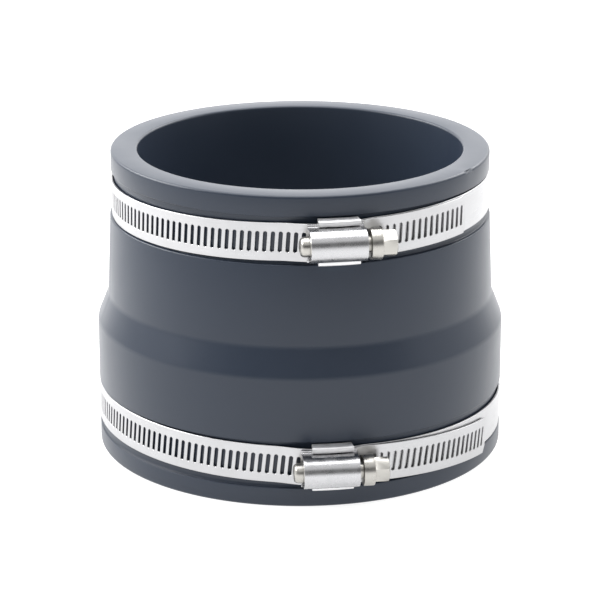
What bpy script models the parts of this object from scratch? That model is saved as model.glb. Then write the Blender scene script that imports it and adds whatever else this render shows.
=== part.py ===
"""Flexible rubber pipe coupling: a moulded reducing sleeve held by two worm-drive band clamps.

The sleeve stands on its large end at z = 0 with its axis upright, and the two screw housings
face -Y with their screw heads towards +X. The origin is the middle of the coupling's
footprint, so the sleeve's axis lies a little behind it. Lengths are metres, angles radians.
"""

from math import asin, atan, ceil, cos, pi, radians, sin, sqrt, tan

import bmesh
import bpy
from mathutils import Matrix, Vector

MM = 0.001
INCH = 0.0254

# Clearance between pieces that touch
SEAT_GAP = 0.3 * MM

# Rubber sleeve
SMALL_PIPE_DIAMETER = 111.3 * MM
LARGE_PIPE_DIAMETER = 121.9 * MM
SLEEVE_HEIGHT = 104.4 * MM
SMALL_LIP_WALL = 9.2 * MM
LARGE_LIP_WALL = 9.4 * MM
SMALL_BODY_WALL = 9.75 * MM
SMALL_BODY_DRAFT = 1.2 * MM
SMALL_LIP_HEIGHT = 6.8 * MM
LARGE_LIP_HEIGHT = 6.6 * MM
SHOULDER_BOTTOM = 44.5 * MM
SHOULDER_HEIGHT = 9.4 * MM
BORE_STEP_BOTTOM = 43.0 * MM
BORE_STEP_HEIGHT = 9.0 * MM
LIP_ROUNDING = 0.9 * MM
CHANNEL_ROUNDING = 0.5 * MM
SHOULDER_ROUNDING = 2.5 * MM
SLEEVE_SIDES = 64

# Clamp band
BAND_WIDTH = 0.5 * INCH
BAND_THICKNESS = 0.65 * MM
BAND_SINK = 0.05 * MM
CHANNEL_SLACK = 3.3 * MM
SLOT_PITCH = 0.1 * INCH
SLOT_WIDTH = 1.3 * MM
SLOT_LENGTH = 6.8 * MM
SLOT_END_BULGE = 0.5 * MM
SLOTTED_STRETCH = 122.0 * MM
PLAIN_STEP = 5.6 * MM
TAIL_TIP_LENGTH = 1.2 * MM
TAIL_TIP_CLIP = 2.4 * MM

# Saddle and housing
SADDLE_LENGTH = 13.0 * MM
SADDLE_SHIFT = 1.1 * MM
SADDLE_THICKNESS = 0.7 * MM
HEM_CLEARANCE = 0.45 * MM
HEM_OVERLAP = 1.0 * MM
ENTRY_RAMP = 13.0 * MM
EXIT_RAMP = 4.4 * MM
HOUSING_LENGTH = 18.4 * MM
HOUSING_WALL = 0.8 * MM
FOOT_THICKNESS = 0.8 * MM
WORM_CLEARANCE = 0.3 * MM

# Screw
WORM_RADIUS = 4.25 * MM
THREAD_DEPTH = 0.9 * MM
THREAD_CREST = 0.35 * MM
THREAD_FLANK = radians(20)
THREAD_BITE = 0.45 * MM
THREAD_SIDES = 12
NOSE_LENGTH = 3.0 * MM
NOSE_ROUNDING = 0.9 * MM
COLLAR_GAP = 1.2 * MM
COLLAR_RADIUS = 5.2 * MM
COLLAR_LENGTH = 3.8 * MM
COLLAR_CHAMFER = 0.4 * MM
HEX_ACROSS_FLATS = 5 / 16 * INCH
HEX_LENGTH = 4.8 * MM
HEX_CHAMFER = 0.5 * MM
DRIVER_SLOT_WIDTH = 1.2 * MM
DRIVER_SLOT_DEPTH = 1.8 * MM

# How each clamp lies: turn about the sleeve, length of free tail, tail skew, screw turn
UPPER_TURN = radians(0.1)
UPPER_TAIL_REACH = 50.5 * MM
UPPER_TAIL_SKEW = 0.0 * MM
UPPER_HEX_TURN = radians(24)
LOWER_TURN = radians(-2.1)
LOWER_TAIL_REACH = 66.0 * MM
LOWER_TAIL_SKEW = -2.5 * MM
LOWER_HEX_TURN = radians(21)

# Worked out from the sizes above
CHANNEL_WIDTH = BAND_WIDTH + CHANNEL_SLACK
CHANNEL_DEPTH = SEAT_GAP + BAND_THICKNESS + BAND_SINK
SMALL_BORE = SMALL_PIPE_DIAMETER / 2
LARGE_BORE = LARGE_PIPE_DIAMETER / 2
SMALL_LIP_RADIUS = SMALL_BORE + SMALL_LIP_WALL
LARGE_LIP_RADIUS = LARGE_BORE + LARGE_LIP_WALL
SMALL_FLOOR_RADIUS = SMALL_LIP_RADIUS - CHANNEL_DEPTH
LARGE_FLOOR_RADIUS = LARGE_LIP_RADIUS - CHANNEL_DEPTH
SMALL_CHANNEL_TOP = SLEEVE_HEIGHT - SMALL_LIP_HEIGHT
SMALL_CHANNEL_BOTTOM = SMALL_CHANNEL_TOP - CHANNEL_WIDTH
LARGE_CHANNEL_TOP = LARGE_LIP_HEIGHT + CHANNEL_WIDTH
UPPER_CLAMP_HEIGHT = (SMALL_CHANNEL_TOP + SMALL_CHANNEL_BOTTOM) / 2
LOWER_CLAMP_HEIGHT = LARGE_LIP_HEIGHT + CHANNEL_WIDTH / 2
LAYER = BAND_THICKNESS + SEAT_GAP
SADDLE_LIFT = SADDLE_THICKNESS + SEAT_GAP
HEM_INSIDE = BAND_WIDTH / 2 + HEM_CLEARANCE
SLOT_LEAN = atan(SLOT_PITCH / (2 * pi * WORM_RADIUS))
TAIL_TOP_LIFT = SEAT_GAP + SADDLE_LIFT + LAYER + BAND_THICKNESS
SCREW_LIFT = TAIL_TOP_LIFT - THREAD_BITE + WORM_RADIUS
HOUSING_RADIUS = WORM_RADIUS + WORM_CLEARANCE + HOUSING_WALL
HOUSING_REACH = LARGE_FLOOR_RADIUS + SCREW_LIFT + HOUSING_RADIUS
FRONT_REACH = HOUSING_REACH * cos(LOWER_TURN) + HOUSING_LENGTH / 2 * abs(sin(LOWER_TURN))
AXIS_BEHIND_ORIGIN = (FRONT_REACH - LARGE_LIP_RADIUS) / 2


def clear_scene():
    for thing in list(bpy.data.objects):
        bpy.data.objects.remove(thing, do_unlink=True)


def finish(name, colour, roughness, metallic):
    material = bpy.data.materials.new(name)
    material.use_nodes = True
    shader = material.node_tree.nodes["Principled BSDF"]
    shader.inputs["Base Color"].default_value = (*colour, 1)
    shader.inputs["Roughness"].default_value = roughness
    shader.inputs["Metallic"].default_value = metallic
    return material


def rubber(name):
    return finish(name, (0.035, 0.038, 0.044), 0.55, 0.0)


def bright_steel(name):
    return finish(name, (0.72, 0.72, 0.73), 0.28, 1.0)


def plated_steel(name):
    return finish(name, (0.66, 0.64, 0.56), 0.32, 1.0)


def add_object(name, bm, material=None, parent=None, place=None):
    """Turn a bmesh into a named object, with round faces shaded smooth."""
    bmesh.ops.recalc_face_normals(bm, faces=bm.faces)
    mesh = bpy.data.meshes.new(name)
    bm.to_mesh(mesh)
    bm.free()
    mesh.shade_smooth()
    mesh.set_sharp_from_angle(angle=radians(32))
    if material:
        mesh.materials.append(material)
    thing = bpy.data.objects.new(name, mesh)
    bpy.context.scene.collection.objects.link(thing)
    thing.parent = parent
    if place:
        thing.matrix_basis = place
    return thing


def add_helper(name, bm, parent, place=None):
    """An operand of a Boolean, which isn't part of the object."""
    thing = add_object(name, bm, parent=parent, place=place)
    thing.hide_render = True
    thing.display_type = "WIRE"
    return thing


def add_empty(name, place, parent=None):
    """A point that other pieces are placed from."""
    empty = bpy.data.objects.new(name, None)
    bpy.context.scene.collection.objects.link(empty)
    empty.parent = parent
    empty.matrix_basis = place
    return empty


def add_boolean(thing, other, operation):
    modifier = thing.modifiers.new(f"{operation.lower()} {other.name}", "BOOLEAN")
    modifier.operation = operation
    modifier.solver = "EXACT"
    modifier.object = other


def rounded(corners, steps=2):
    """A closed outline in which each corner (x, y, radius) becomes an arc."""
    outline = []
    for i, (x, y, radius) in enumerate(corners):
        corner = Vector((x, y))
        before = Vector(corners[i - 1][:2]) - corner
        after = Vector(corners[(i + 1) % len(corners)][:2]) - corner
        half = before.angle(after) / 2
        reach = min(radius / tan(half), 0.45 * before.length, 0.45 * after.length)
        start = corner + before.normalized() * reach
        end = corner + after.normalized() * reach
        middle = (before.normalized() + after.normalized()).normalized()
        centre = corner + middle * (reach / cos(half))
        sweep = (start - centre).angle_signed(end - centre)
        for step in range(steps):
            turned = Matrix.Rotation(-sweep * step / (steps - 1), 2) @ (start - centre)
            outline.append(centre + turned)
    return outline


def skin(bm, rings, closed=False):
    """Join rings of equally many points into one closed body."""
    rows = [[bm.verts.new(point) for point in ring] for ring in rings]
    count = len(rows[0])
    pairs = list(zip(rows, rows[1:]))
    if closed:
        pairs.append((rows[-1], rows[0]))
    for low, high in pairs:
        for i in range(count):
            j = (i + 1) % count
            bm.faces.new((low[i], low[j], high[j], high[i]))
    if not closed:
        bm.faces.new(reversed(rows[0]))
        bm.faces.new(rows[-1])


def turned_x(profile, sides, phase=0.0):
    """A solid turned about X from (x, radius) points, with flat ends."""
    bm = bmesh.new()
    rings = []
    for x, radius in profile:
        angles = [phase + 2 * pi * i / sides for i in range(sides)]
        rings.append([(x, radius * cos(a), radius * sin(a)) for a in angles])
    skin(bm, rings)
    return bm


def sleeve_profile():
    """Section (radius, height) of the sleeve wall, round from the foot of the large bore."""
    body_top = SMALL_BORE + SMALL_BODY_WALL
    body_foot = body_top + SMALL_BODY_DRAFT
    lip, channel, bend = LIP_ROUNDING, CHANNEL_ROUNDING, SHOULDER_ROUNDING
    fine = [
        (LARGE_BORE, 0, lip),
        (LARGE_LIP_RADIUS, 0, lip),
        (LARGE_LIP_RADIUS, LARGE_LIP_HEIGHT, channel),
        (LARGE_FLOOR_RADIUS, LARGE_LIP_HEIGHT, channel),
        (LARGE_FLOOR_RADIUS, LARGE_CHANNEL_TOP, channel),
        (LARGE_LIP_RADIUS, LARGE_CHANNEL_TOP, channel),
        (LARGE_LIP_RADIUS, SHOULDER_BOTTOM, bend),
        (body_foot, SHOULDER_BOTTOM + SHOULDER_HEIGHT, bend),
        (body_top, SMALL_CHANNEL_BOTTOM, channel),
        (SMALL_FLOOR_RADIUS, SMALL_CHANNEL_BOTTOM, channel),
        (SMALL_FLOOR_RADIUS, SMALL_CHANNEL_TOP, channel),
        (SMALL_LIP_RADIUS, SMALL_CHANNEL_TOP, channel),
        (SMALL_LIP_RADIUS, SLEEVE_HEIGHT, lip),
        (SMALL_BORE, SLEEVE_HEIGHT, lip),
        (SMALL_BORE, BORE_STEP_BOTTOM + BORE_STEP_HEIGHT, bend),
        (LARGE_BORE, BORE_STEP_BOTTOM, bend),
    ]
    return rounded(fine)


def make_sleeve(axis):
    profile = sleeve_profile()
    bm = bmesh.new()
    rings = []
    for i in range(SLEEVE_SIDES):
        angle = 2 * pi * i / SLEEVE_SIDES
        rings.append([(r * sin(angle), -r * cos(angle), z) for r, z in profile])
    skin(bm, rings, closed=True)
    return add_object("sleeve", bm, rubber("sleeve_rubber"), axis)


def ease(share):
    """Smooth fall from 1 to 0 as share goes from 0 to 1."""
    share = min(max(share, 0.0), 1.0)
    return 0.5 + 0.5 * cos(pi * share)


class Clamp:
    """The sizes of one clamp, worked out from the channel that it lies in.

    Its saddle, housing and screw sit level, and its band tilts as far as the channel lets it.
    """

    def __init__(
        self, axis, name, floor_radius, height, turn, lift_side, tail_reach, tail_skew, hex_turn
    ):
        self.name = name
        self.seat = floor_radius + SEAT_GAP
        self.tail_reach = tail_reach
        self.tail_skew = tail_skew
        self.hex_turn = hex_turn
        self.saddle_start = (SADDLE_SHIFT - SADDLE_LENGTH / 2) / self.seat
        self.saddle_end = (SADDLE_SHIFT + SADDLE_LENGTH / 2) / self.seat
        self.foot = floor_radius + TAIL_TOP_LIFT + SEAT_GAP
        self.screw_radius = floor_radius + SCREW_LIFT
        rim = self.seat + LAYER + BAND_THICKNESS
        tilt = lift_side * asin((CHANNEL_SLACK / 2 - SEAT_GAP) / rim)
        level = Matrix.Translation((0, 0, height)) @ Matrix.Rotation(turn, 4, "Z")
        self.drive = add_empty(f"{name}_drive", level, axis)
        self.loop = add_empty(f"{name}_loop", level @ Matrix.Rotation(-tilt, 4, "Y"), axis)

    def inner_radius(self, angle):
        """Radius of the band's inner face. One full turn parts the fixed end from the tail."""
        past = angle - 2 * pi if angle > pi else angle
        before = (self.saddle_start - past) * self.seat
        after = (past - self.saddle_end) * self.seat
        over_saddle = SADDLE_LIFT * ease(max(before, after) / EXIT_RAMP)
        if angle <= pi:
            return self.seat + over_saddle
        if past < 0:
            return self.seat + (SADDLE_LIFT + LAYER) * ease(before / ENTRY_RAMP)
        return self.seat + LAYER + over_saddle

    def skew(self, angle):
        """How far the free tail has swung along the sleeve."""
        past = (angle - 2 * pi) * self.seat - HOUSING_LENGTH / 2
        share = min(max(past / (self.tail_reach - HOUSING_LENGTH / 2), 0.0), 1.0)
        return self.tail_skew * share**1.5

    def point(self, angle, z, depth):
        radius = self.inner_radius(angle) + depth
        return Vector((radius * sin(angle), -radius * cos(angle), z + self.skew(angle)))

    def slot_angles(self):
        """Centres of the slots, a thread pitch apart, with one under the middle of the worm."""
        centres = [2 * pi]
        while (2 * pi - centres[0]) * self.seat < SLOTTED_STRETCH:
            centres.insert(0, centres[0] - SLOT_PITCH / self.middle_radius(centres[0]))
        while (centres[-1] - 2 * pi) * self.seat < self.tail_reach - SLOT_PITCH:
            centres.append(centres[-1] + SLOT_PITCH / self.middle_radius(centres[-1]))
        return centres

    def middle_radius(self, angle):
        return self.inner_radius(angle) + BAND_THICKNESS / 2


def make_band(clamp):
    """The band: a plain stretch from its fixed end round the back, then slotted to the tail."""
    bm = bmesh.new()
    half = BAND_WIDTH / 2

    def edge(angle, low=-half, high=half):
        """Four corners across the band: inner low, inner high, outer high, outer low."""
        rows = ((low, 0), (high, 0), (high, BAND_THICKNESS), (low, BAND_THICKNESS))
        return [bm.verts.new(clamp.point(angle, z, depth)) for z, depth in rows]

    def rim(a, b):
        bm.faces.new((a[0], b[0], b[3], a[3]))
        bm.faces.new((a[1], a[2], b[2], b[1]))

    def plain(a, b):
        rim(a, b)
        bm.faces.new((a[0], a[1], b[1], b[0]))
        bm.faces.new((a[3], b[3], b[2], a[2]))

    def slotted(a, b, centre):
        rim(a, b)
        straight = SLOT_LENGTH / 2 - SLOT_END_BULGE
        side = SLOT_WIDTH / 2
        outline = (
            (-side, -straight),
            (0, -SLOT_LENGTH / 2),
            (side, -straight),
            (side, straight),
            (0, SLOT_LENGTH / 2),
            (-side, straight),
        )
        hole = []
        for depth in (0, BAND_THICKNESS):
            ring = []
            for along, z in outline:
                reach = (along + z * tan(SLOT_LEAN)) / clamp.middle_radius(centre)
                ring.append(bm.verts.new(clamp.point(centre + reach, z, depth)))
            hole.append(ring)
        for ring, low_a, high_a, high_b, low_b in (
            (hole[0], a[0], a[1], b[1], b[0]),
            (hole[1], a[3], a[2], b[2], b[3]),
        ):
            bm.faces.new((low_a, low_b, ring[2], ring[1], ring[0]))
            bm.faces.new((low_b, high_b, ring[3], ring[2]))
            bm.faces.new((high_b, high_a, ring[5], ring[4], ring[3]))
            bm.faces.new((high_a, low_a, ring[0], ring[5]))
        for i in range(6):
            j = (i + 1) % 6
            bm.faces.new((hole[0][i], hole[0][j], hole[1][j], hole[1][i]))

    slots = clamp.slot_angles()
    first_cell = slots[0] - SLOT_PITCH / 2 / clamp.middle_radius(slots[0])
    edges = [edge(clamp.saddle_start)]
    for start, stop in ((clamp.saddle_start, clamp.saddle_end), (clamp.saddle_end, first_cell)):
        count = ceil((stop - start) * clamp.seat / PLAIN_STEP)
        edges += [edge(start + (stop - start) * (i + 1) / count) for i in range(count)]
    for a, b in zip(edges, edges[1:]):
        plain(a, b)
    bm.faces.new(edges[0])
    last = edges[-1]
    for centre, following in zip(slots, slots[1:]):
        nearer = edge((centre + following) / 2)
        slotted(last, nearer, centre)
        last = nearer
    shoulder = edge(slots[-1] + SLOT_PITCH / 2 / clamp.middle_radius(slots[-1]))
    slotted(last, shoulder, slots[-1])
    end_angle = slots[-1] + (SLOT_PITCH / 2 + TAIL_TIP_LENGTH) / clamp.middle_radius(slots[-1])
    end = edge(end_angle, TAIL_TIP_CLIP - half, half - TAIL_TIP_CLIP)
    plain(shoulder, end)
    bm.faces.new(reversed(end))
    steel = bright_steel(f"{clamp.name}_band_steel")
    return add_object(f"{clamp.name}_band", bm, steel, clamp.loop)


def make_saddle(clamp):
    """A curved plate under the band's fixed end, its sides hemmed over the housing's feet."""
    inside = HEM_INSIDE
    outside = inside + SADDLE_THICKNESS
    low = clamp.seat
    floor = low + SADDLE_THICKNESS
    under_hem = clamp.foot + FOOT_THICKNESS + SEAT_GAP
    top = under_hem + SADDLE_THICKNESS
    reach = BAND_WIDTH / 2 - HEM_OVERLAP + SEAT_GAP
    right = [
        (outside - 0.4 * SADDLE_THICKNESS, low),
        (outside, low + 0.4 * SADDLE_THICKNESS),
        (outside, top - 0.5 * SADDLE_THICKNESS),
        (outside - 0.5 * SADDLE_THICKNESS, top),
        (reach, top),
        (reach, under_hem),
        (inside, under_hem),
        (inside, floor),
    ]
    section = right + [(-z, radius) for z, radius in reversed(right)]
    bm = bmesh.new()
    stations = 6
    rings = []
    for i in range(stations + 1):
        angle = clamp.saddle_start + SADDLE_LENGTH / clamp.seat * i / stations
        rings.append([(r * sin(angle), -r * cos(angle), z) for z, r in section])
    skin(bm, rings)
    steel = bright_steel(f"{clamp.name}_saddle_steel")
    return add_object(f"{clamp.name}_saddle", bm, steel, clamp.drive)


def make_housing(clamp):
    """The arched cover over the worm, with a foot along each side."""
    outside = HOUSING_RADIUS
    inside = outside - HOUSING_WALL
    axis = clamp.screw_radius
    arch_steps = 10
    stations = 6
    bm = bmesh.new()
    rings = []
    for i in range(stations + 1):
        x = HOUSING_LENGTH * (i / stations - 0.5)
        sole = sqrt(clamp.foot**2 - x * x)
        foot_top = sole + FOOT_THICKNESS
        ring = [
            (BAND_WIDTH / 2, sole),
            (BAND_WIDTH / 2, foot_top),
            (outside + 0.3 * FOOT_THICKNESS, foot_top),
            (outside, foot_top + 0.4 * FOOT_THICKNESS),
        ]
        for step in range(arch_steps + 1):
            angle = pi * step / arch_steps
            ring.append((outside * cos(angle), axis + outside * sin(angle)))
        ring.append((-outside, foot_top + 0.4 * FOOT_THICKNESS))
        ring.append((-outside - 0.3 * FOOT_THICKNESS, foot_top))
        ring += [(-BAND_WIDTH / 2, foot_top), (-BAND_WIDTH / 2, sole), (-inside, sole)]
        for step in range(arch_steps + 1):
            angle = pi * step / arch_steps
            ring.append((-inside * cos(angle), axis + inside * sin(angle)))
        ring.append((inside, sole))
        rings.append([(x, -y, z) for z, y in ring])
    skin(bm, rings)
    steel = bright_steel(f"{clamp.name}_housing_steel")
    return add_object(f"{clamp.name}_housing", bm, steel, clamp.drive)


def thread_ridge(start, end):
    """A right-hand ridge whose crest faces the band wherever x is a whole pitch."""
    root = WORM_RADIUS - THREAD_DEPTH
    sunk = 0.35 * THREAD_DEPTH
    slope = tan(THREAD_FLANK)
    turns = (end - start) / SLOT_PITCH
    count = int(turns * THREAD_SIDES)
    fade = THREAD_SIDES // 2
    rings = []
    for i in range(count + 1):
        x = start + SLOT_PITCH * i / THREAD_SIDES
        angle = 2 * pi * x / SLOT_PITCH
        height = THREAD_DEPTH * min(1.0, i / fade, (count - i) / fade) - sunk / 2
        crest = root + max(height, -sunk / 2)
        foot = root - sunk
        half = THREAD_CREST / 2
        spread = half + (WORM_RADIUS - foot) * slope
        section = ((-spread, foot), (-half, crest), (half, crest), (spread, foot))
        rings.append([(x + dx, r * cos(angle), r * sin(angle)) for dx, r in section])
    bm = bmesh.new()
    skin(bm, rings)
    return bm


def make_screw(clamp):
    """The worm, its collar and its slotted hexagon head, turned about the screw's own axis."""
    place = Matrix.Translation((0, -clamp.screw_radius, 0))
    nose = -HOUSING_LENGTH / 2 - NOSE_LENGTH
    collar = HOUSING_LENGTH / 2 + COLLAR_GAP
    head = collar + COLLAR_LENGTH
    end = head + HEX_LENGTH
    root = WORM_RADIUS - THREAD_DEPTH
    corner = HEX_ACROSS_FLATS / 2 / cos(pi / 6)
    core = [
        (nose, root - NOSE_ROUNDING),
        (nose + NOSE_ROUNDING, root),
        (collar + COLLAR_LENGTH / 2, root),
    ]
    screw = add_object(
        f"{clamp.name}_screw",
        turned_x(core, THREAD_SIDES),
        plated_steel(f"{clamp.name}_screw_steel"),
        clamp.drive,
        place,
    )
    collar_profile = [
        (collar, COLLAR_RADIUS - COLLAR_CHAMFER),
        (collar + COLLAR_CHAMFER, COLLAR_RADIUS),
        (head - COLLAR_CHAMFER, COLLAR_RADIUS),
        (head, COLLAR_RADIUS - COLLAR_CHAMFER),
    ]
    washer = turned_x(collar_profile, 24)
    collar_blank = add_helper(f"{clamp.name}_collar_blank", washer, clamp.drive, place)
    prism = turned_x([(head - COLLAR_CHAMFER, corner), (end, corner)], 6, pi - clamp.hex_turn)
    hexagon = add_helper(f"{clamp.name}_hexagon", prism, clamp.drive, place)
    cone = [
        (collar, corner + HEX_CHAMFER),
        (end - HEX_CHAMFER, corner),
        (end, corner - 2 * HEX_CHAMFER),
    ]
    blank = add_helper(f"{clamp.name}_head_blank", turned_x(cone, 24), clamp.drive, place)
    add_boolean(hexagon, blank, "INTERSECT")
    ridge = add_helper(
        f"{clamp.name}_thread",
        thread_ridge(nose + NOSE_ROUNDING, HOUSING_LENGTH / 2),
        clamp.drive,
        place,
    )
    cutter = bmesh.new()
    size = Matrix.Diagonal((2 * DRIVER_SLOT_DEPTH, DRIVER_SLOT_WIDTH, 3 * corner, 1))
    bmesh.ops.create_cube(cutter, size=1, matrix=Matrix.Translation((end, 0, 0)) @ size)
    turned = place @ Matrix.Rotation(-clamp.hex_turn, 4, "X")
    driver_slot = add_helper(f"{clamp.name}_driver_slot", cutter, clamp.drive, turned)
    add_boolean(screw, collar_blank, "UNION")
    add_boolean(screw, hexagon, "UNION")
    add_boolean(screw, ridge, "UNION")
    add_boolean(screw, driver_slot, "DIFFERENCE")
    return screw


def make_clamp(*sizes):
    clamp = Clamp(*sizes)
    make_band(clamp)
    make_saddle(clamp)
    make_housing(clamp)
    make_screw(clamp)


def main():
    clear_scene()
    axis = add_empty("sleeve_axis", Matrix.Translation((0, AXIS_BEHIND_ORIGIN, 0)))
    make_sleeve(axis)
    make_clamp(
        axis,
        "upper",
        SMALL_FLOOR_RADIUS,
        UPPER_CLAMP_HEIGHT,
        UPPER_TURN,
        1,
        UPPER_TAIL_REACH,
        UPPER_TAIL_SKEW,
        UPPER_HEX_TURN,
    )
    make_clamp(
        axis,
        "lower",
        LARGE_FLOOR_RADIUS,
        LOWER_CLAMP_HEIGHT,
        LOWER_TURN,
        -1,
        LOWER_TAIL_REACH,
        LOWER_TAIL_SKEW,
        LOWER_HEX_TURN,
    )


main()
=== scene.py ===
from math import asin, atan, ceil, cos, pi, radians, sin, sqrt, tan

import bmesh
import bpy
from mathutils import Matrix, Vector


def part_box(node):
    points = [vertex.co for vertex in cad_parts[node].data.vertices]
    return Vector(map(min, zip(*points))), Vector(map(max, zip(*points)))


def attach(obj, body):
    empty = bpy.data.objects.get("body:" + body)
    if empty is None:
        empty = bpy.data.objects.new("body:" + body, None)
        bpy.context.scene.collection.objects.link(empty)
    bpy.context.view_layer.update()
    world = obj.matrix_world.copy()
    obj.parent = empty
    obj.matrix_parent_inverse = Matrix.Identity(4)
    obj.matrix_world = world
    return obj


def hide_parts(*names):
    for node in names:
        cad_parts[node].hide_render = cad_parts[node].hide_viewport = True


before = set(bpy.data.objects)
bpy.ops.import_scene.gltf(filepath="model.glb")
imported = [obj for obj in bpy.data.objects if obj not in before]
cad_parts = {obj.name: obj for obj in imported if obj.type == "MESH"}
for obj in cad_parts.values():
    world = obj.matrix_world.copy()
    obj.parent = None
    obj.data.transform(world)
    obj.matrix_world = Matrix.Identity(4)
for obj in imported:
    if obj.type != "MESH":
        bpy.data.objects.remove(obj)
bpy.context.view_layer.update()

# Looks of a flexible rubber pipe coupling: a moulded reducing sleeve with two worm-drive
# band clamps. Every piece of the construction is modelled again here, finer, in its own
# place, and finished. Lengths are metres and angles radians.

MM = 0.001
INCH = 0.0254

# The sleeve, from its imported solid
SLEEVE_LOW, SLEEVE_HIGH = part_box("sleeve")
SLEEVE_HEIGHT = SLEEVE_HIGH.z
LARGE_LIP_RADIUS = (SLEEVE_HIGH.x - SLEEVE_LOW.x) / 2
AXIS_Y = (SLEEVE_HIGH.y + SLEEVE_LOW.y) / 2
AXIS = Matrix.Translation((0, AXIS_Y, 0))

# Rubber wall
SMALL_BORE = 55.65 * MM
LARGE_BORE = 60.95 * MM
SMALL_LIP_RADIUS = SMALL_BORE + 9.2 * MM
SMALL_BODY_TOP = SMALL_BORE + 9.75 * MM
SMALL_BODY_FOOT = SMALL_BODY_TOP + 1.2 * MM
SMALL_LIP_HEIGHT = 6.8 * MM
LARGE_LIP_HEIGHT = 6.6 * MM
SHOULDER_BOTTOM = 44.5 * MM
SHOULDER_TOP = SHOULDER_BOTTOM + 9.4 * MM
BORE_STEP_BOTTOM = 43.0 * MM
BORE_STEP_TOP = BORE_STEP_BOTTOM + 9.0 * MM
LIP_ROUNDING = 0.9 * MM
CHANNEL_ROUNDING = 0.3 * MM
CHANNEL_DRAFT = 0.3 * MM
CHANNEL_DRAFT_HEIGHT = 1.0 * MM
SHOULDER_ROUNDING = 0.9 * MM
PARTING_RIDGE = 0.15 * MM
CHIP_AZIMUTH = radians(50)
CHIP_REACH = 2.0 * MM
CHIP_DEPTH = 0.4 * MM
SLEEVE_STEPS = 256

# Clamp band, saddle and housing
SEAT_GAP = 0.3 * MM
BAND_WIDTH = 0.5 * INCH
BAND_THICKNESS = 0.65 * MM
BAND_SINK = 0.05 * MM
CHANNEL_WIDTH = BAND_WIDTH + 3.3 * MM
CHANNEL_DEPTH = SEAT_GAP + BAND_THICKNESS + BAND_SINK
SLOT_PITCH = 0.1 * INCH
SLOT_WIDTH = 1.3 * MM
SLOT_LENGTH = 6.8 * MM
SLOT_FACETS = 16
SLOTTED_STRETCH = 122.0 * MM
PLAIN_STEP = 2.2 * MM
STRIP_EDGE = 0.1 * MM
TAIL_TIP_LENGTH = 1.2 * MM
TAIL_TIP_CLIP = 2.4 * MM
TAIL_SKEW_POWER = 1.5
BENDING_STEPS = 720
SADDLE_LENGTH = 13.0 * MM
SADDLE_SHIFT = 1.1 * MM
SADDLE_THICKNESS = 0.7 * MM
HEM_CLEARANCE = 0.45 * MM
HEM_OVERLAP = 1.0 * MM
FOLD_RADIUS = 0.42 * MM
SADDLE_EDGE = 0.16 * MM
SADDLE_STEPS = 12
ENTRY_RAMP = 13.0 * MM
EXIT_RAMP = 4.4 * MM
HOUSING_LENGTH = 18.4 * MM
HOUSING_WALL = 0.8 * MM
HOUSING_EDGE = 0.2 * MM
HOUSING_STATIONS = 12
ARCH_STEPS = 28
FOOT_THICKNESS = 0.8 * MM
ANKLE_BEND = 1.0 * MM
WORM_CLEARANCE = 0.3 * MM

# Worm screw
WORM_RADIUS = 4.25 * MM
THREAD_DEPTH = 0.9 * MM
THREAD_CREST = 0.35 * MM
THREAD_FLANK = radians(20)
THREAD_BITE = 0.45 * MM
THREAD_EDGE = 0.1 * MM
THREAD_ROOTING = 0.35
THREAD_STEPS = 40
NOSE_LENGTH = 3.0 * MM
NOSE_ROUNDING = 0.9 * MM
COLLAR_GAP = 1.2 * MM
COLLAR_RADIUS = 5.2 * MM
COLLAR_LENGTH = 3.8 * MM
HEX_ACROSS_FLATS = 5 / 16 * INCH
HEX_LENGTH = 4.8 * MM
NECK_RADIUS = 2.7 * MM
NECK_RAMP = 0.4 * MM
CUT_MARGIN = 0.05 * MM
OVERLAP = 1.0 * MM
COLLAR_CHAMFER = 0.4 * MM
HEX_CHAMFER = 0.5 * MM
HEX_CHAMFER_DROP = 1.0 * MM
TURNING_STEPS = 48
TRIMMING_STEPS = 55
DRIVER_SLOT_WIDTH = 1.2 * MM
DRIVER_SLOT_DEPTH = 1.8 * MM

# Worked out from the sizes above
SMALL_CHANNEL_TOP = SLEEVE_HEIGHT - SMALL_LIP_HEIGHT
SMALL_CHANNEL_BOTTOM = SMALL_CHANNEL_TOP - CHANNEL_WIDTH
LARGE_CHANNEL_TOP = LARGE_LIP_HEIGHT + CHANNEL_WIDTH
LAYER = BAND_THICKNESS + SEAT_GAP
SADDLE_LIFT = SADDLE_THICKNESS + SEAT_GAP
SLOT_LEAN = atan(SLOT_PITCH / (2 * pi * WORM_RADIUS))
TAIL_TOP_LIFT = SEAT_GAP + SADDLE_LIFT + LAYER + BAND_THICKNESS
SCREW_LIFT = TAIL_TOP_LIFT - THREAD_BITE + WORM_RADIUS
HOUSING_RADIUS = WORM_RADIUS + WORM_CLEARANCE + HOUSING_WALL

# The screw's places along its own axis, from the middle of the housing, and two of its radii
NOSE_X = -HOUSING_LENGTH / 2 - NOSE_LENGTH
THREAD_END_X = HOUSING_LENGTH / 2
COLLAR_X = THREAD_END_X + COLLAR_GAP
HEAD_X = COLLAR_X + COLLAR_LENGTH
SCREW_END_X = HEAD_X + HEX_LENGTH
THREAD_ROOT = WORM_RADIUS - THREAD_DEPTH
HEX_CORNER = HEX_ACROSS_FLATS / 2 / cos(pi / 6)

ORIGIN = (0, 0, 0)
X_AXIS = (1, 0, 0)
Z_AXIS = (0, 0, 1)

# A vertex is picked by a level within a hair and by a place when it touches it. Edges
# shorter than a sliver are left over from a cut.
HAIR = 0.01 * MM
TOUCH = 0.001 * MM
SLIVER = 0.003 * MM

# Edges sharper than the first are broken, and edges flatter than the second look smooth
SHARP_EDGE = radians(38)
SMOOTH_EDGE = radians(35)


# Modelling by hand, one operator after another


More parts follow.
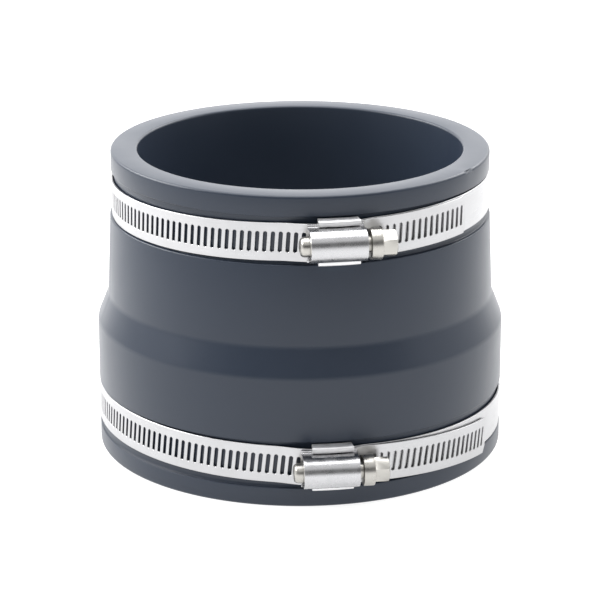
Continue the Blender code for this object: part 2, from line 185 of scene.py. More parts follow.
def start_fresh():
    """Leave all that exists alone, so that operators act on the new shape only."""
    if bpy.context.mode != "OBJECT":
        bpy.ops.object.mode_set(mode="OBJECT")
    bpy.ops.object.select_all(action="DESELECT")


def edit():
    bpy.ops.object.mode_set(mode="EDIT")
    bpy.ops.mesh.select_mode(type="VERT")


def leave_edit():
    bpy.ops.object.mode_set(mode="OBJECT")
    return bpy.context.object


def pick(test):
    """In edit mode, select the vertices whose place passes the test, and what they span."""
    bpy.ops.mesh.select_all(action="DESELECT")
    mesh = bpy.context.object.data
    shape = bmesh.from_edit_mesh(mesh)
    for vertex in shape.verts:
        vertex.select_set(test(vertex.co))
    shape.select_flush(True)
    bmesh.update_edit_mesh(mesh)


def near(*places):
    """A test for vertices that lie at one of the places."""
    targets = [Vector(place) for place in places]
    return lambda co: any((co - target).length < TOUCH for target in targets)


def draw(points, closed=True):
    """Draw an outline from point to point by extruding one vertex. Stays in edit mode."""
    start_fresh()
    bpy.ops.mesh.primitive_plane_add(size=MM)
    edit()
    bpy.ops.mesh.merge(type="CENTER")
    bpy.ops.transform.translate(value=points[0])
    for here, there in zip(points, points[1:]):
        step = Vector(there) - Vector(here)
        bpy.ops.mesh.extrude_region_move(TRANSFORM_OT_translate={"value": step})
    if closed:
        pick(near(points[0], points[-1]))
        bpy.ops.mesh.edge_face_add()


def round_corners(places, radius, segments=4):
    """Round the corners of an outline that lie at the places."""
    pick(near(*places))
    bpy.ops.mesh.bevel(offset=radius, segments=segments, affect="VERTICES")


def turn_all(angle, axis):
    """In edit mode, turn the whole shape about an axis through the origin. With no window
    the operator turns it clockwise for a positive angle."""
    bpy.ops.mesh.select_all(action="SELECT")
    bpy.ops.transform.rotate(value=angle, orient_axis=axis, center_override=ORIGIN)


def spin(angle, steps, axis):
    """Sweep the whole outline round an axis, and merge it where it meets itself."""
    bpy.ops.mesh.select_all(action="SELECT")
    bpy.ops.mesh.spin(steps=steps, angle=angle, center=ORIGIN, axis=axis, use_auto_merge=True)
    bpy.ops.mesh.select_all(action="SELECT")
    bpy.ops.mesh.remove_doubles(threshold=TOUCH)


def face_outwards():
    bpy.ops.mesh.select_all(action="SELECT")
    bpy.ops.mesh.normals_make_consistent(inside=False)


def modify(piece, kind, **settings):
    """Add a modifier and apply it."""
    bpy.context.view_layer.objects.active = piece
    modifier = piece.modifiers.new(kind.title(), kind)
    for name, value in settings.items():
        setattr(modifier, name, value)
    bpy.ops.object.modifier_apply(modifier=modifier.name)


def combine(piece, other, operation):
    """Add, cut or intersect with another closed shape, which is used up."""
    modify(piece, "BOOLEAN", operation=operation, object=other, solver="EXACT")
    bpy.data.objects.remove(other, do_unlink=True)


def merge_slivers(piece):
    """Close up the hair-thin slivers that cutting and joining leave."""
    start_fresh()
    piece.select_set(True)
    bpy.context.view_layer.objects.active = piece
    edit()
    bpy.ops.mesh.select_all(action="SELECT")
    bpy.ops.mesh.remove_doubles(threshold=SLIVER)
    bpy.ops.mesh.dissolve_degenerate(threshold=SLIVER)
    face_outwards()
    leave_edit()


def soften(piece, width, segments=2):
    """Break the sharp edges, as pressing, rolling or tumbling does."""
    modify(
        piece,
        "BEVEL",
        width=width,
        segments=segments,
        limit_method="ANGLE",
        angle_limit=SHARP_EDGE,
        use_clamp_overlap=True,
    )


def settle(piece, name, place):
    """Name a finished piece and move it to its place, which then lies in its mesh."""
    start_fresh()
    piece.name = name
    piece.data.name = name
    piece.select_set(True)
    bpy.context.view_layer.objects.active = piece
    piece.matrix_world = place
    bpy.ops.object.transform_apply(location=True, rotation=True, scale=True)
    bpy.ops.object.shade_smooth_by_angle(angle=SMOOTH_EDGE)
    return piece


def hand_over(piece, node, body, material):
    """Dress a piece, and let it stand for its solid on the body that carries it."""
    piece.data.materials.clear()
    piece.data.materials.append(material)
    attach(piece, body)
    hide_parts(node)


# Materials

# Sockets of a Mix node by number, because several of them have the same name
FACTOR, NUMBER_A, NUMBER_B, COLOUR_A, COLOUR_B = 0, 2, 3, 6, 7
MIXED_COLOUR = 2


def linear(code):
    """Linear colour of an sRGB hex value."""
    shares = [int(code[i : i + 2], 16) / 255 for i in (0, 2, 4)]
    return (*(s / 12.92 if s <= 0.04045 else ((s + 0.055) / 1.055) ** 2.4 for s in shares), 1)


def add_node(tree, kind, settings=None, inputs=None, links=None):
    """Add a node, with its settings, its socket values and the outputs that feed it."""
    node = tree.nodes.new(kind)
    for name, value in (settings or {}).items():
        setattr(node, name, value)
    for socket, value in (inputs or {}).items():
        node.inputs[socket].default_value = value
    for socket, output in (links or {}).items():
        tree.links.new(output, node.inputs[socket])
    return node


def new_material(name):
    material = bpy.data.materials.new(name)
    material.use_nodes = True
    tree = material.node_tree
    return material, tree, tree.nodes["Principled BSDF"]


def link_looks(tree, shader, colour, gloss, relief):
    """Let the shader take its colour, its roughness and its fine relief from these nodes."""
    tree.links.new(colour.outputs[MIXED_COLOUR], shader.inputs["Base Color"])
    tree.links.new(gloss.outputs["Result"], shader.inputs["Roughness"])
    tree.links.new(relief.outputs["Normal"], shader.inputs["Normal"])


def moulded_rubber():
    """Elastomer moulded in a satin steel mould: near black, bluish, with a soft even gloss
    that goes a little cloudy where the surface has bloomed."""
    material, tree, shader = new_material("moulded_elastomer")
    place = add_node(tree, "ShaderNodeTexCoord").outputs["Object"]
    cloud = add_node(
        tree,
        "ShaderNodeTexNoise",
        inputs={"Scale": 1 / (28 * MM), "Detail": 4.0, "Roughness": 0.55},
        links={"Vector": place},
    ).outputs["Fac"]
    colour = add_node(
        tree,
        "ShaderNodeMix",
        {"data_type": "RGBA"},
        {COLOUR_A: linear("28303D"), COLOUR_B: linear("2D3542")},
        {FACTOR: cloud},
    )
    # The mould's real grain is finer than this, which is as coarse as it needs to show
    grain = add_node(
        tree,
        "ShaderNodeTexNoise",
        inputs={"Scale": 1 / (0.9 * MM), "Detail": 3.0, "Roughness": 0.6},
        links={"Vector": place},
    ).outputs["Fac"]
    swell = add_node(
        tree,
        "ShaderNodeTexNoise",
        inputs={"Scale": 1 / (14 * MM), "Detail": 2.0},
        links={"Vector": place},
    ).outputs["Fac"]
    gloss = add_node(
        tree,
        "ShaderNodeMapRange",
        inputs={"From Min": 0.3, "From Max": 0.7, "To Min": 0.3, "To Max": 0.36},
        links={"Value": cloud},
    )
    broad = add_node(
        tree,
        "ShaderNodeBump",
        inputs={"Strength": 0.35, "Distance": 0.12 * MM},
        links={"Height": swell},
    )
    fine = add_node(
        tree,
        "ShaderNodeBump",
        inputs={"Strength": 0.25, "Distance": 0.02 * MM},
        links={"Height": grain, "Normal": broad.outputs["Normal"]},
    )
    link_looks(tree, shader, colour, gloss, fine)
    shader.inputs["IOR"].default_value = 1.43
    return material


def rolled_strip_steel():
    """Cold rolled stainless strip: bright and neutral, with a faint grain along it."""
    material, tree, shader = new_material("cold_rolled_stainless_strip")
    flat = add_node(tree, "ShaderNodeUVMap", {"uv_map": "strip"}).outputs["UV"]
    # Real rolling lines are finer than these, which are as coarse as they need to show
    stretched = add_node(
        tree,
        "ShaderNodeMapping",
        inputs={"Scale": (1 / (18 * MM), 1 / (0.35 * MM), 1)},
        links={"Vector": flat},
    ).outputs["Vector"]
    grain = add_node(
        tree,
        "ShaderNodeTexNoise",
        inputs={"Scale": 1.0, "Detail": 3.0, "Roughness": 0.6},
        links={"Vector": stretched},
    ).outputs["Fac"]
    cloud = add_node(
        tree,
        "ShaderNodeTexNoise",
        inputs={"Scale": 1 / (7 * MM), "Detail": 3.0},
        links={"Vector": flat},
    ).outputs["Fac"]
    colour = add_node(
        tree,
        "ShaderNodeMix",
        {"data_type": "RGBA"},
        {COLOUR_A: linear("B5B5B6"), COLOUR_B: linear("C1C1C3")},
        {FACTOR: cloud},
    )
    gloss = add_node(
        tree,
        "ShaderNodeMapRange",
        inputs={"From Min": 0.3, "From Max": 0.7, "To Min": 0.26, "To Max": 0.38},
        links={"Value": grain},
    )
    relief = add_node(
        tree,
        "ShaderNodeBump",
        inputs={"Strength": 0.3, "Distance": 0.015 * MM},
        links={"Height": grain},
    )
    link_looks(tree, shader, colour, gloss, relief)
    shader.inputs["Metallic"].default_value = 1.0
    return material


def shaped_steel(name, dull, bright, rough_low, rough_high, dimple):
    """Steel shaped in a press or between rolls. Tiny soft dents, a dimple wide, and patches
    a few millimetres wide, duller and brighter, blur what it mirrors."""
    material, tree, shader = new_material(name)
    place = add_node(tree, "ShaderNodeTexCoord").outputs["Object"]
    dents = add_node(
        tree,
        "ShaderNodeTexNoise",
        inputs={"Scale": 1 / dimple, "Detail": 4.0, "Roughness": 0.6},
        links={"Vector": place},
    ).outputs["Fac"]
    cloud = add_node(
        tree,
        "ShaderNodeTexNoise",
        inputs={"Scale": 1 / (3.5 * MM), "Detail": 3.0},
        links={"Vector": place},
    ).outputs["Fac"]
    colour = add_node(
        tree,
        "ShaderNodeMix",
        {"data_type": "RGBA"},
        {COLOUR_A: linear(dull), COLOUR_B: linear(bright)},
        {FACTOR: cloud},
    )
    gloss = add_node(
        tree,
        "ShaderNodeMapRange",
        inputs={"From Min": 0.3, "From Max": 0.7, "To Min": rough_low, "To Max": rough_high},
        links={"Value": cloud},
    )
    relief = add_node(
        tree,
        "ShaderNodeBump",
        inputs={"Strength": 0.2, "Distance": 0.01 * MM},
        links={"Height": dents},
    )
    link_looks(tree, shader, colour, gloss, relief)
    shader.inputs["Metallic"].default_value = 1.0
    return material


def tumbled_sheet_steel():
    """Stainless sheet, pressed and tumbled: bright, with soft-edged stripes of light."""
    return shaped_steel("tumbled_stainless_sheet", "B5B5B7", "C3C3C5", 0.22, 0.32, 0.6 * MM)


def folded_steel_painted_highlight():
    """Folded, hemmed stainless strip, matt from the tools; its near white is a painted
    highlight.
    """
    return shaped_steel("folded_stainless_strip_painted_highlight", "E2E2E3", "EBEBEC", 0.5, 0.6, 0.8 * MM)


def zinc_plated_steel():
    """Steel, rolled, headed and zinc plated: a little darker and warmer than stainless."""
    return shaped_steel("zinc_plated_steel", "ADABA6", "BAB8B3", 0.24, 0.36, 0.7 * MM)


# Sleeve


def chip_rim():
    """In edit mode, sink the top rim's outer edge where a bit of moulding flash tore off."""
    outwards = Vector((sin(CHIP_AZIMUTH), -cos(CHIP_AZIMUTH), 0))
    centre = outwards * SMALL_LIP_RADIUS + Vector((0, 0, SLEEVE_HEIGHT))

    def on_edge(co):
        inside_arc = co.z < SLEEVE_HEIGHT - HAIR and co.xy.length < SMALL_LIP_RADIUS - HAIR
        return inside_arc and (co - centre).length < CHIP_REACH

    pick(on_edge)
    bpy.ops.transform.translate(value=-CHIP_DEPTH * (outwards + Vector(Z_AXIS)))


def make_sleeve():
    """The moulded sleeve, turned from a drawn section of its wall."""
    foot_bore = (0, LARGE_BORE, 0)
    foot_rim = (0, LARGE_LIP_RADIUS, 0)
    large_floor = LARGE_LIP_RADIUS - CHANNEL_DEPTH
    small_floor = SMALL_LIP_RADIUS - CHANNEL_DEPTH
    large_lip = (0, LARGE_LIP_RADIUS, LARGE_LIP_HEIGHT)
    large_channel = [
        (0, large_floor + CHANNEL_DRAFT, LARGE_LIP_HEIGHT),
        (0, large_floor, LARGE_LIP_HEIGHT + CHANNEL_DRAFT_HEIGHT),
        (0, large_floor, LARGE_CHANNEL_TOP),
        (0, LARGE_LIP_RADIUS, LARGE_CHANNEL_TOP),
    ]
    shoulder = [(0, LARGE_LIP_RADIUS, SHOULDER_BOTTOM), (0, SMALL_BODY_FOOT, SHOULDER_TOP)]
    small_channel = [
        (0, SMALL_BODY_TOP, SMALL_CHANNEL_BOTTOM),
        (0, small_floor + CHANNEL_DRAFT, SMALL_CHANNEL_BOTTOM),
        (0, small_floor, SMALL_CHANNEL_BOTTOM + CHANNEL_DRAFT_HEIGHT),
        (0, small_floor, SMALL_CHANNEL_TOP),
        (0, SMALL_LIP_RADIUS, SMALL_CHANNEL_TOP),
    ]
    top_rim = (0, SMALL_LIP_RADIUS, SLEEVE_HEIGHT)
    top_bore = (0, SMALL_BORE, SLEEVE_HEIGHT)
    step = [(0, SMALL_BORE, BORE_STEP_TOP), (0, LARGE_BORE, BORE_STEP_BOTTOM)]
    draw([
        foot_bore,
        foot_rim,
        large_lip,
        *large_channel,
        *shoulder,
        *small_channel,
        top_rim,
        top_bore,
        *step,
    ])
    round_corners([foot_bore, foot_rim, top_rim, top_bore], LIP_ROUNDING)
    round_corners([large_lip, *large_channel, *small_channel], CHANNEL_ROUNDING, 3)
    round_corners([*shoulder, *step], SHOULDER_ROUNDING, 5)
    spin(2 * pi, SLEEVE_STEPS, Z_AXIS)
    face_outwards()
    above = SHOULDER_BOTTOM + SHOULDER_ROUNDING
    below = SMALL_CHANNEL_BOTTOM + HAIR
    outside = SMALL_BODY_TOP - CHANNEL_ROUNDING
    pick(lambda co: abs(co.y) < TOUCH and abs(co.x) > outside and above < co.z < below)
    bpy.ops.transform.resize(value=(1 + PARTING_RIDGE / SMALL_BODY_TOP, 1, 1))
    chip_rim()
    piece = settle(leave_edit(), "rubber_sleeve", AXIS)
    hand_over(piece, "sleeve", "sleeve", moulded_rubber())


# Clamps


def ease(share):
    """Smooth fall from 1 to 0 as share goes from 0 to 1."""
    share = min(max(share, 0.0), 1.0)
    return (1 + cos(pi * share)) / 2


class Clamp:
    """The sizes of one clamp, and the places of its level drive and of its tilted band."""

    def __init__(
        self, name, floor_radius, height, turn, lift_side, tail_reach, tail_skew, hex_turn
    ):
        self.name = name
        self.seat = floor_radius + SEAT_GAP
        self.tail_reach = tail_reach
        self.tail_skew = tail_skew
        self.hex_turn = hex_turn
        self.saddle_start = (SADDLE_SHIFT - SADDLE_LENGTH / 2) / self.seat
        self.saddle_end = (SADDLE_SHIFT + SADDLE_LENGTH / 2) / self.seat
        self.foot = floor_radius + TAIL_TOP_LIFT + SEAT_GAP
        self.screw_radius = floor_radius + SCREW_LIFT
        # The band lies as far askew as its channel lets it
        rim = self.seat + LAYER + BAND_THICKNESS
        tilt = lift_side * asin(((CHANNEL_WIDTH - BAND_WIDTH) / 2 - SEAT_GAP) / rim)
        self.drive = AXIS @ Matrix.Translation((0, 0, height)) @ Matrix.Rotation(turn, 4, "Z")
        self.loop = self.drive @ Matrix.Rotation(-tilt, 4, "Y")

    def middle_radius(self, angle):
        """Radius of the middle of the band's thickness. A full turn parts fixed end and tail."""
        past = angle - 2 * pi if angle > pi else angle
        before = (self.saddle_start - past) * self.seat
        after = (past - self.saddle_end) * self.seat
        radius = self.seat + BAND_THICKNESS / 2
        if angle > pi and past < 0:
            return radius + (SADDLE_LIFT + LAYER) * ease(before / ENTRY_RAMP)
        if angle > pi:
            radius += LAYER
        return radius + SADDLE_LIFT * ease(max(before, after) / EXIT_RAMP)

    def line(self, end_angle):
        """Points along the middle of the band, from its fixed end to an angle."""
        points = []
        for i in range(BENDING_STEPS + 1):
            angle = self.saddle_start + (end_angle - self.saddle_start) * i / BENDING_STEPS
            past = (angle - 2 * pi) * self.seat - HOUSING_LENGTH / 2
            share = min(max(past / (self.tail_reach - HOUSING_LENGTH / 2), 0.0), 1.0)
            radius = self.middle_radius(angle)
            skew = self.tail_skew * share**TAIL_SKEW_POWER
            points.append(Vector((radius * sin(angle), -radius * cos(angle), skew)))
        return points


def length_of(points):
    return sum((b - a).length for a, b in zip(points, points[1:]))


def slotted_cell():
    """One pitch of flat strip with its leaning, round-ended slot, centred on the origin."""
    half_length = (SLOT_LENGTH - SLOT_WIDTH) / 2
    lean = half_length * tan(SLOT_LEAN)
    start_fresh()
    bpy.ops.mesh.primitive_circle_add(vertices=SLOT_FACETS, radius=SLOT_WIDTH / 2)
    edit()
    turn_all(pi / SLOT_FACETS, "Z")
    pick(lambda co: co.y > 0)
    bpy.ops.transform.translate(value=(lean, half_length, 0))
    pick(lambda co: co.y < 0)
    bpy.ops.transform.translate(value=(-lean, -half_length, 0))
    bpy.ops.mesh.select_all(action="DESELECT")
    bpy.ops.mesh.primitive_plane_add(size=1)
    bpy.ops.transform.resize(value=(SLOT_PITCH, BAND_WIDTH, 1))
    bpy.ops.mesh.delete(type="ONLY_FACE")
    half = (SLOT_PITCH / 2, BAND_WIDTH / 2)
    pick(lambda co: abs(abs(co.x) - half[0]) < HAIR and abs(abs(co.y) - half[1]) < HAIR)
    bpy.ops.mesh.subdivide(number_cuts=SLOT_FACETS // 4 - 1)
    bpy.ops.mesh.select_all(action="SELECT")
    bpy.ops.mesh.bridge_edge_loops()
    return leave_edit()


def flat_strip(clamp, under_worm):
    """The whole band as flat strip along X, from its fixed end at x = 0 to its tail."""
    before = ceil(SLOTTED_STRETCH / SLOT_PITCH)
    tail_radius = clamp.seat + LAYER + BAND_THICKNESS / 2
    after = ceil((clamp.tail_reach - SLOT_PITCH) / SLOT_PITCH * tail_radius / clamp.seat)
    first = under_worm - before * SLOT_PITCH
    start = first - SLOT_PITCH / 2
    end = under_worm + (after + 0.5) * SLOT_PITCH
    strip = slotted_cell()
    modify(
        strip,
        "ARRAY",
        count=before + after + 1,
        use_relative_offset=False,
        use_constant_offset=True,
        constant_offset_displace=(SLOT_PITCH, 0, 0),
        use_merge_vertices=True,
        merge_threshold=HAIR,
    )
    edit()
    bpy.ops.mesh.select_all(action="SELECT")
    bpy.ops.transform.translate(value=(first, 0, 0))
    plain_steps = ceil(start / PLAIN_STEP)
    pick(lambda co: co.x < start + HAIR)
    for _ in range(plain_steps):
        bpy.ops.mesh.extrude_region_move(
            TRANSFORM_OT_translate={"value": (-start / plain_steps, 0, 0)}
        )
    pick(lambda co: co.x > end - HAIR)
    bpy.ops.mesh.extrude_region_move(TRANSFORM_OT_translate={"value": (TAIL_TIP_LENGTH, 0, 0)})
    tip = end + TAIL_TIP_LENGTH
    for side in (-1, 1):
        pick(lambda co: co.x > tip - HAIR and co.y * side > BAND_WIDTH / 2 - HAIR)
        bpy.ops.transform.translate(value=(0, -side * TAIL_TIP_CLIP, 0))
    return leave_edit(), tip


def write_strip_coordinates(strip):
    """Give the strip a UV map in metres along and across it, for its rolled grain."""
    layer = strip.data.uv_layers.new(name="strip")
    for loop in strip.data.loops:
        place = strip.data.vertices[loop.vertex_index].co
        layer.data[loop.index].uv = (place.x, place.y)


def bending_line(points):
    """A curve through the points, kept upright, for a strip to follow."""
    line = bpy.data.curves.new("bending_line", "CURVE")
    line.dimensions = "3D"
    line.twist_mode = "Z_UP"
    spline = line.splines.new("POLY")
    spline.points.add(len(points) - 1)
    for target, point in zip(spline.points, points):
        target.co = (*point, 1)
    guide = bpy.data.objects.new("bending_line", line)
    bpy.context.scene.collection.objects.link(guide)
    return guide


def make_band(clamp, material):
    """The band: punched and cut as flat strip, then wound round the sleeve."""
    under_worm = length_of(clamp.line(2 * pi))
    strip, tip = flat_strip(clamp, under_worm)
    write_strip_coordinates(strip)
    modify(strip, "SOLIDIFY", thickness=BAND_THICKNESS, offset=0)
    soften(strip, STRIP_EDGE, 1)
    edit()
    turn_all(-pi / 2, "X")
    leave_edit()
    end_angle = 2 * pi + (tip - under_worm) / clamp.seat
    guide = bending_line(clamp.line(end_angle))
    modify(strip, "CURVE", object=guide, deform_axis="POS_X")
    bpy.data.objects.remove(guide, do_unlink=True)
    piece = settle(strip, f"{clamp.name}_slotted_band", clamp.loop)
    hand_over(piece, f"{clamp.name}_band", "sleeve", material)


def make_saddle(clamp, material):
    """The saddle: a strip folded up at both sides and hemmed over the housing's feet."""
    side = BAND_WIDTH / 2 + HEM_CLEARANCE + SADDLE_THICKNESS / 2
    plate = clamp.seat + SADDLE_THICKNESS / 2
    hem = clamp.foot + FOOT_THICKNESS + SEAT_GAP + SADDLE_THICKNESS / 2
    lap = BAND_WIDTH / 2 - HEM_OVERLAP + SEAT_GAP
    folds = [(0, -hem, side), (0, -plate, side), (0, -plate, -side), (0, -hem, -side)]
    draw([(0, -hem, lap), *folds, (0, -hem, -lap)], closed=False)
    round_corners(folds, FOLD_RADIUS, 5)
    spin(SADDLE_LENGTH / clamp.seat, SADDLE_STEPS, Z_AXIS)
    face_outwards()
    saddle = leave_edit()
    modify(saddle, "SOLIDIFY", thickness=SADDLE_THICKNESS, offset=0)
    soften(saddle, SADDLE_EDGE)
    turned = clamp.drive @ Matrix.Rotation(clamp.saddle_end, 4, "Z")
    piece = settle(saddle, f"{clamp.name}_hemmed_saddle", turned)
    hand_over(piece, f"{clamp.name}_saddle", "sleeve", material)


def make_housing(clamp, material):
    """The housing: sheet bent into an arch over the worm, its feet laid along the band."""
    wall = HOUSING_RADIUS - HOUSING_WALL / 2
    axis = clamp.screw_radius
    foot = clamp.foot + FOOT_THICKNESS / 2
    left_end = -HOUSING_LENGTH / 2
    arch = []
    for i in range(ARCH_STEPS + 1):
        angle = pi * i / ARCH_STEPS
        arch.append((left_end, -axis - wall * sin(angle), wall * cos(angle)))
    ankles = [(left_end, -foot, wall), (left_end, -foot, -wall)]
    toe = BAND_WIDTH / 2
    draw(
        [(left_end, -foot, toe), ankles[0], *arch, ankles[1], (left_end, -foot, -toe)],
        closed=False,
    )
    round_corners(ankles, ANKLE_BEND, 5)
    reach = HOUSING_LENGTH / HOUSING_STATIONS
    bpy.ops.mesh.select_all(action="SELECT")
    for _ in range(HOUSING_STATIONS):
        bpy.ops.mesh.extrude_region_move(TRANSFORM_OT_translate={"value": (reach, 0, 0)})
    # The feet follow the round of the band
    for i in range(HOUSING_STATIONS + 1):
        x = left_end + reach * i
        sag = clamp.foot - sqrt(clamp.foot**2 - x * x)
        pick(lambda co: abs(co.x - x) < HAIR and co.y > -foot - ANKLE_BEND * 0.6)
        bpy.ops.transform.translate(value=(0, sag, 0))
    face_outwards()
    housing = leave_edit()
    modify(housing, "SOLIDIFY", thickness=HOUSING_WALL, offset=0)
    soften(housing, HOUSING_EDGE, 3)
    piece = settle(housing, f"{clamp.name}_worm_housing", clamp.drive)
    hand_over(piece, f"{clamp.name}_housing", "sleeve", material)


def turned_along_x(outline, steps=TURNING_STEPS):
    """A closed turning about X from (x, radius) points, whose ends lie on the axis."""
    first, last = outline[0][0], outline[-1][0]
    draw([(first, 0, 0), *((x, radius, 0) for x, radius in outline), (last, 0, 0)], closed=False)
    spin(2 * pi, steps, X_AXIS)
    face_outwards()
    return leave_edit()


def rolled_thread(first, turns):
    """A right-hand ridge whose crest faces the band wherever x is a whole pitch."""
    foot = THREAD_ROOT - THREAD_ROOTING * THREAD_DEPTH
    half = THREAD_CREST / 2
    spread = half + (WORM_RADIUS - foot) * tan(THREAD_FLANK)
    section = [
        (first - spread, foot, 0),
        (first - half, WORM_RADIUS, 0),
        (first + half, WORM_RADIUS, 0),
        (first + spread, foot, 0),
    ]
    draw(section)
    round_corners(section[1:3], THREAD_EDGE, 2)
    thread = leave_edit()
    modify(
        thread,
        "SCREW",
        axis="X",
        angle=2 * pi,
        screw_offset=SLOT_PITCH,
        iterations=turns,
        steps=THREAD_STEPS,
        render_steps=THREAD_STEPS,
        use_merge_vertices=False,
        use_smooth_shade=False,
    )
    edit()
    last = first + turns * SLOT_PITCH
    for x in (first, last):
        pick(lambda co: abs(co.z) < TOUCH and co.y > 0 and abs(co.x - x) < spread + HAIR)
        bpy.ops.mesh.edge_face_add()
    face_outwards()
    return leave_edit()


def rolled_worm():
    """The worm: a core with the thread on it, trimmed to length, with a rounded nose."""
    worm = turned_along_x([
        (NOSE_X - OVERLAP, THREAD_ROOT),
        (COLLAR_X + 2 * OVERLAP, THREAD_ROOT),
    ])
    first = -SLOT_PITCH * ceil(-NOSE_X / SLOT_PITCH + 1)
    turns = ceil((THREAD_END_X - first) / SLOT_PITCH) + 1
    combine(worm, rolled_thread(first, turns), "UNION")
    # Its facets differ from the core's, so that no two edges fall together in the cut
    blank = turned_along_x([
        (NOSE_X, THREAD_ROOT - 1.4 * NOSE_ROUNDING),
        (NOSE_X + 0.3 * NOSE_ROUNDING, THREAD_ROOT - 0.7 * NOSE_ROUNDING),
        (NOSE_X + NOSE_ROUNDING, THREAD_ROOT - 0.2 * NOSE_ROUNDING),
        (NOSE_X + 1.8 * NOSE_ROUNDING, THREAD_ROOT - CUT_MARGIN),
        (-HOUSING_LENGTH / 2, THREAD_ROOT - CUT_MARGIN),
        (-HOUSING_LENGTH / 2 + THREAD_DEPTH, WORM_RADIUS + CUT_MARGIN),
        (THREAD_END_X - THREAD_DEPTH, WORM_RADIUS + CUT_MARGIN),
        (THREAD_END_X, THREAD_ROOT - CUT_MARGIN),
        (THREAD_END_X + NECK_RAMP, NECK_RADIUS),
        (COLLAR_X + OVERLAP, NECK_RADIUS),
    ], steps=TRIMMING_STEPS)
    combine(worm, blank, "INTERSECT")
    return worm


def chamfered_collar():
    """The round collar, both of its edges chamfered in two facets."""
    return turned_along_x([
        (COLLAR_X, COLLAR_RADIUS - COLLAR_CHAMFER),
        (COLLAR_X + 0.3 * COLLAR_CHAMFER, COLLAR_RADIUS - 0.3 * COLLAR_CHAMFER),
        (COLLAR_X + COLLAR_CHAMFER, COLLAR_RADIUS),
        (HEAD_X - COLLAR_CHAMFER, COLLAR_RADIUS),
        (HEAD_X - 0.3 * COLLAR_CHAMFER, COLLAR_RADIUS - 0.3 * COLLAR_CHAMFER),
        (HEAD_X, COLLAR_RADIUS - COLLAR_CHAMFER),
    ])


def hexagon_head(turn):
    """The hexagon, sunk a little into the collar, with its corners turned off at the end."""
    start = HEAD_X - COLLAR_CHAMFER
    start_fresh()
    bpy.ops.mesh.primitive_cylinder_add(
        vertices=6,
        radius=HEX_CORNER,
        depth=SCREW_END_X - start,
        location=((start + SCREW_END_X) / 2, 0, 0),
        rotation=(0, pi / 2, 0),
    )
    bpy.ops.object.transform_apply(location=True, rotation=True)
    edit()
    turn_all(turn, "X")
    face_outwards()
    hexagon = leave_edit()
    cone = turned_along_x([
        (COLLAR_X, HEX_CORNER + OVERLAP),
        (SCREW_END_X - HEX_CHAMFER, HEX_CORNER),
        (SCREW_END_X, HEX_CORNER - HEX_CHAMFER_DROP),
    ])
    combine(hexagon, cone, "INTERSECT")
    return hexagon


def cut_driver_slot(screw, turn):
    """Saw the screwdriver slot across the head."""
    start_fresh()
    bpy.ops.mesh.primitive_cube_add(size=1, location=(SCREW_END_X, 0, 0))
    edit()
    bpy.ops.transform.resize(value=(2 * DRIVER_SLOT_DEPTH, DRIVER_SLOT_WIDTH, 3 * HEX_CORNER))
    turn_all(turn, "X")
    combine(screw, leave_edit(), "DIFFERENCE")


def make_screw(clamp, material):
    """The worm screw: rolled thread, round collar and slotted hexagon head, one piece."""
    screw = rolled_worm()
    combine(screw, chamfered_collar(), "UNION")
    combine(screw, hexagon_head(clamp.hex_turn), "UNION")
    cut_driver_slot(screw, clamp.hex_turn)
    merge_slivers(screw)
    place = clamp.drive @ Matrix.Translation((0, -clamp.screw_radius, 0))
    body = f"{clamp.name}_screw"
    piece = settle(screw, f"{clamp.name}_worm_screw", place)
    hand_over(piece, f"{clamp.name}_screw", body, material)


def make_clamps():
    rolled = rolled_strip_steel()
    tumbled = tumbled_sheet_steel()
    # The saddle's steel is painted lighter than the band's: a painted highlight on its hems.
    folded = folded_steel_painted_highlight()
    plated = zinc_plated_steel()
    upper = Clamp(
        "upper",
        SMALL_LIP_RADIUS - CHANNEL_DEPTH,
        (SMALL_CHANNEL_TOP + SMALL_CHANNEL_BOTTOM) / 2,
        turn=radians(0.1),
        lift_side=1,
        tail_reach=50.5 * MM,
        tail_skew=0.0,
        hex_turn=radians(24),
    )
    lower = Clamp(
        "lower",
        LARGE_LIP_RADIUS - CHANNEL_DEPTH,
        LARGE_LIP_HEIGHT + CHANNEL_WIDTH / 2,
        turn=radians(-2.1),
        lift_side=-1,
        tail_reach=66.0 * MM,
        tail_skew=-2.5 * MM,
        hex_turn=radians(21),
    )
    for clamp in (upper, lower):
        make_band(clamp, rolled)
        make_saddle(clamp, folded)
        make_housing(clamp, tumbled)
        make_screw(clamp, plated)


# Stage

CAMERA_AZIMUTH = radians(-9.65)
CAMERA_ELEVATION = radians(18.2)
CAMERA_DISTANCE = 873.5 * MM
CAMERA_LENS = 150
CAMERA_SENSOR = 36
CAMERA_REACH = 50
LOOK_AT = Vector((0, AXIS_Y, 48.5 * MM))
FLOOR_SIZE = 12
FLOOR_DROP = 0.1 * MM
BACKDROP_STRENGTH = 2.1
WALL_STRENGTH = 1.0
DIM_STRENGTH = 0.16


def direction(azimuth, elevation):
    """Unit vector from the part. Azimuth 0 is -Y, in front, and 90 degrees is +X."""
    flat = cos(elevation)
    return Vector((sin(azimuth) * flat, -cos(azimuth) * flat, sin(elevation)))


def make_camera():
    towards = direction(CAMERA_AZIMUTH, CAMERA_ELEVATION)
    start_fresh()
    bpy.ops.object.camera_add(location=LOOK_AT + towards * CAMERA_DISTANCE)
    camera = bpy.context.object
    camera.name = "photo_camera"
    camera.rotation_euler = (-towards).to_track_quat("-Z", "Y").to_euler()
    camera.data.lens = CAMERA_LENS
    camera.data.sensor_width = CAMERA_SENSOR
    camera.data.clip_end = CAMERA_REACH
    bpy.context.scene.camera = camera


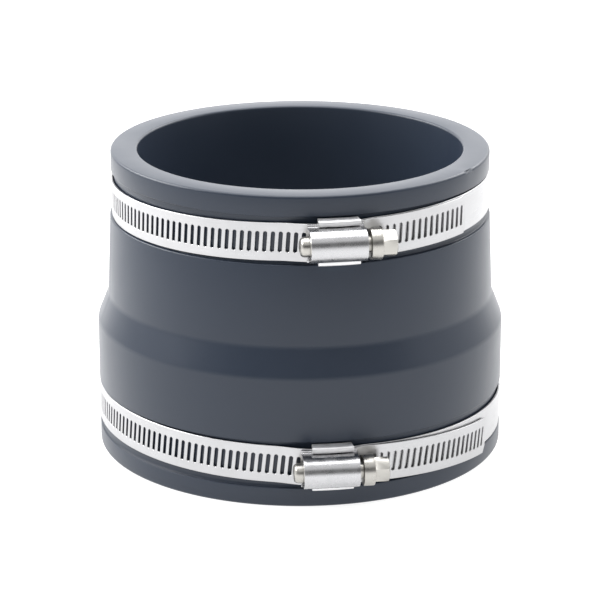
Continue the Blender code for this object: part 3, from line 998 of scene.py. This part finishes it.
def make_floor():
    """A pale floor that also glows a little, so that it comes out white in soft light."""
    start_fresh()
    bpy.ops.mesh.primitive_plane_add(size=FLOOR_SIZE, location=(0, 0, -FLOOR_DROP))
    floor = bpy.context.object
    floor.name = "studio_floor"
    material, _, shader = new_material("white_sweep")
    shader.inputs["Base Color"].default_value = linear("A0A0A0")
    shader.inputs["Roughness"].default_value = 0.9
    shader.inputs["Emission Color"].default_value = linear("FFFFFF")
    shader.inputs["Emission Strength"].default_value = 0.85
    floor.data.materials.append(material)


def add_soft_light(name, azimuth, elevation, distance, width, height, power):
    """A lamp behind a white sheet, facing the part. Its power is in watts."""
    towards = direction(azimuth, elevation)
    start_fresh()
    bpy.ops.object.light_add(type="AREA", location=LOOK_AT + towards * distance)
    light = bpy.context.object
    light.name = name
    light.rotation_euler = (-towards).to_track_quat("-Z", "Y").to_euler()
    light.data.shape = "RECTANGLE"
    light.data.size = width
    light.data.size_y = height
    light.data.energy = power


def make_world():
    """The studio around the part: pale walls and ceiling, brightest behind it, and the dim
    room behind the camera, which the bright metal shows as dark stripes."""
    world = bpy.data.worlds.new("studio")
    world.use_nodes = True
    bpy.context.scene.world = world
    tree = world.node_tree
    towards = add_node(tree, "ShaderNodeTexCoord").outputs["Generated"]
    camera_side = add_node(
        tree,
        "ShaderNodeVectorMath",
        {"operation": "DOT_PRODUCT"},
        {1: direction(CAMERA_AZIMUTH, 0)},
        {0: towards},
    ).outputs["Value"]
    height = add_node(tree, "ShaderNodeSeparateXYZ", links={"Vector": towards}).outputs["Z"]
    # The walls are brightest straight behind the part
    walls = add_node(
        tree,
        "ShaderNodeMapRange",
        inputs={
            "From Min": -1.0,
            "From Max": -0.5,
            "To Min": BACKDROP_STRENGTH,
            "To Max": WALL_STRENGTH,
        },
        links={"Value": camera_side},
    ).outputs["Result"]
    # The dim room starts softly above the floor, on the camera's side, up to the ceiling
    above_floor = add_node(
        tree,
        "ShaderNodeMapRange",
        inputs={"From Min": -0.05, "From Max": 0.2, "To Min": 0.0, "To Max": 1.0},
        links={"Value": height},
    ).outputs["Result"]
    in_front = add_node(
        tree,
        "ShaderNodeMapRange",
        {"interpolation_type": "SMOOTHSTEP"},
        {"From Min": 0.25, "From Max": 0.6, "To Min": 0.0},
        {"Value": camera_side, "To Max": above_floor},
    ).outputs["Result"]
    dim = add_node(
        tree,
        "ShaderNodeMapRange",
        {"interpolation_type": "SMOOTHSTEP"},
        {"From Min": 0.5, "From Max": 0.72, "To Max": 0.0},
        {"Value": height, "To Min": in_front},
    ).outputs["Result"]
    strength = add_node(
        tree,
        "ShaderNodeMix",
        {"data_type": "FLOAT"},
        {NUMBER_B: DIM_STRENGTH},
        {FACTOR: dim, NUMBER_A: walls},
    ).outputs["Result"]
    tree.links.new(strength, tree.nodes["Background"].inputs["Strength"])
    tree.nodes["Background"].inputs["Color"].default_value = (1, 1, 1, 1)


def make_stage():
    make_camera()
    make_floor()
    make_world()
    high = radians(80)
    low = radians(38)
    add_soft_light("overhead", radians(180), high, distance=1.0, width=0.9, height=0.9, power=9)
    add_soft_light("left", radians(-115), low, distance=0.8, width=0.8, height=0.4, power=8)
    add_soft_light("right", radians(125), low, distance=0.9, width=0.7, height=0.4, power=4)
    bpy.context.scene.view_settings.view_transform = "Standard"


make_sleeve()
make_clamps()
make_stage()

bpy.context.view_layer.update()
